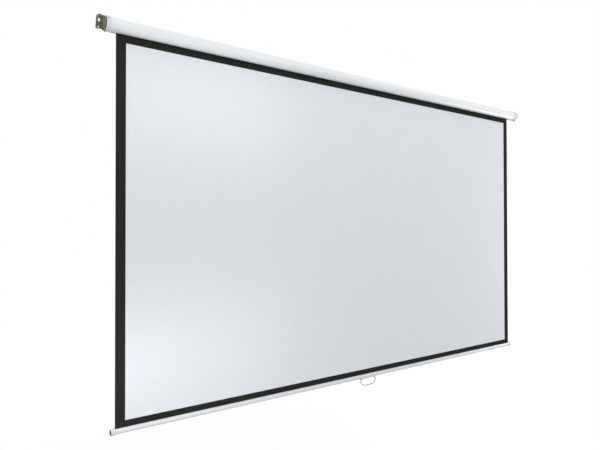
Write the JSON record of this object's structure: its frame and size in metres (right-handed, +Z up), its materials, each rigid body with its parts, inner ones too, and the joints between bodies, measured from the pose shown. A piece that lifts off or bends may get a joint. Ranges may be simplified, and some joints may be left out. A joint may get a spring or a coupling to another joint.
{
  "type": "projector screen",
  "caption": "Manual pull-down projector screen for a wall: round white casing with a spring roller, white fabric with a black border, weight bar and wire pull handle.",
  "frame": {"origin": "on the wall behind the casing, at the height of the roller's axis and at the middle of the picture", "axes": "+X along the casing to the spring end, +Y into the wall, +Z up; -Y is the side that faces the room"},
  "size_m": [2.8959, 0.064, 1.6795],
  "materials": {
    "casing_paint": "satin white",
    "cap_plastic": "satin white",
    "bracket_steel": "grey-green, satin, dark at its cut edges",
    "zinc_steel": "zinc plated",
    "spring_steel": "oiled",
    "nylon": "natural grey",
    "black_plastic": "fine grained",
    "picture_fabric": "matte white coating on a woven backing",
    "border_fabric": "matte black",
    "bar_paint": "white, satin"
  },
  "bodies": {
    "casing": {"casing_tube": "casing_paint", "end_cap_left": "cap_plastic", "end_cap_right": "cap_plastic", "cap_screw_left_top": "zinc_steel", "cap_screw_left_bottom": "zinc_steel", "cap_screw_right_top": "zinc_steel", "cap_screw_right_bottom": "zinc_steel", "wall_bracket_left": "bracket_steel", "wall_bracket_right": "bracket_steel", "bracket_rivet_left_upper": "bracket_steel", "bracket_rivet_left_lower": "bracket_steel", "bracket_rivet_right_upper": "bracket_steel", "bracket_rivet_right_lower": "bracket_steel", "idle_pin": "zinc_steel", "spring_spindle": "zinc_steel", "ratchet_wheel": "zinc_steel", "spring_anchor": "nylon", "torsion_spring": "spring_steel", "screen_fabric": "picture_fabric", "black_border": "border_fabric"},
    "roller": {"roller_tube": "zinc_steel", "fabric_wraps": "border_fabric", "idle_plug": "nylon", "ratchet_plug": "nylon", "spring_plug": "nylon", "upper_pawl_pin": "zinc_steel", "lower_pawl_pin": "zinc_steel"},
    "upper_pawl": {"upper_pawl": "zinc_steel"},
    "lower_pawl": {"lower_pawl": "zinc_steel"},
    "bar": {"bottom_bar": "bar_paint", "hem_rod": "zinc_steel", "fabric_hem": "border_fabric", "handle_saddle": "cap_plastic", "saddle_rivet_left": "zinc_steel", "saddle_rivet_right": "zinc_steel", "bar_ferrule_left": "cap_plastic", "bar_ferrule_right": "cap_plastic", "bar_plug_left": "black_plastic", "bar_plug_right": "black_plastic"},
    "handle": {"pull_handle": "zinc_steel"}
  },
  "joints": [
    {"name": "bar_slide", "type": "slide", "parent": "casing", "child": "bar", "axis": [0, 0, 1], "range_m": [0, 1.548], "deforming": ["screen_fabric", "black_border"]},
    {"name": "roller_spin", "type": "hinge", "parent": "casing", "child": "roller", "pos_m": [0, -0.0322, 0], "axis": [1, 0, 0], "continuous": true},
    {"name": "upper_pawl_pivot", "type": "hinge", "parent": "roller", "child": "upper_pawl", "pos_m": [1.37735, -0.0218, 0.0062], "axis": [1, 0, 0], "range_deg": [0, 20]},
    {"name": "lower_pawl_pivot", "type": "hinge", "parent": "roller", "child": "lower_pawl", "pos_m": [1.37735, -0.0426, -0.0062], "axis": [1, 0, 0], "range_deg": [0, 20]},
    {"name": "handle_swing", "type": "hinge", "parent": "bar", "child": "handle", "pos_m": [0, -0.02863, -1.59727], "axis": [1, 0, 0], "range_deg": [-120, 36]}
  ],
  "couplings": [
    {"joint": "roller_spin", "follows": "bar_slide", "rad_per_m": 53.711}
  ]
}
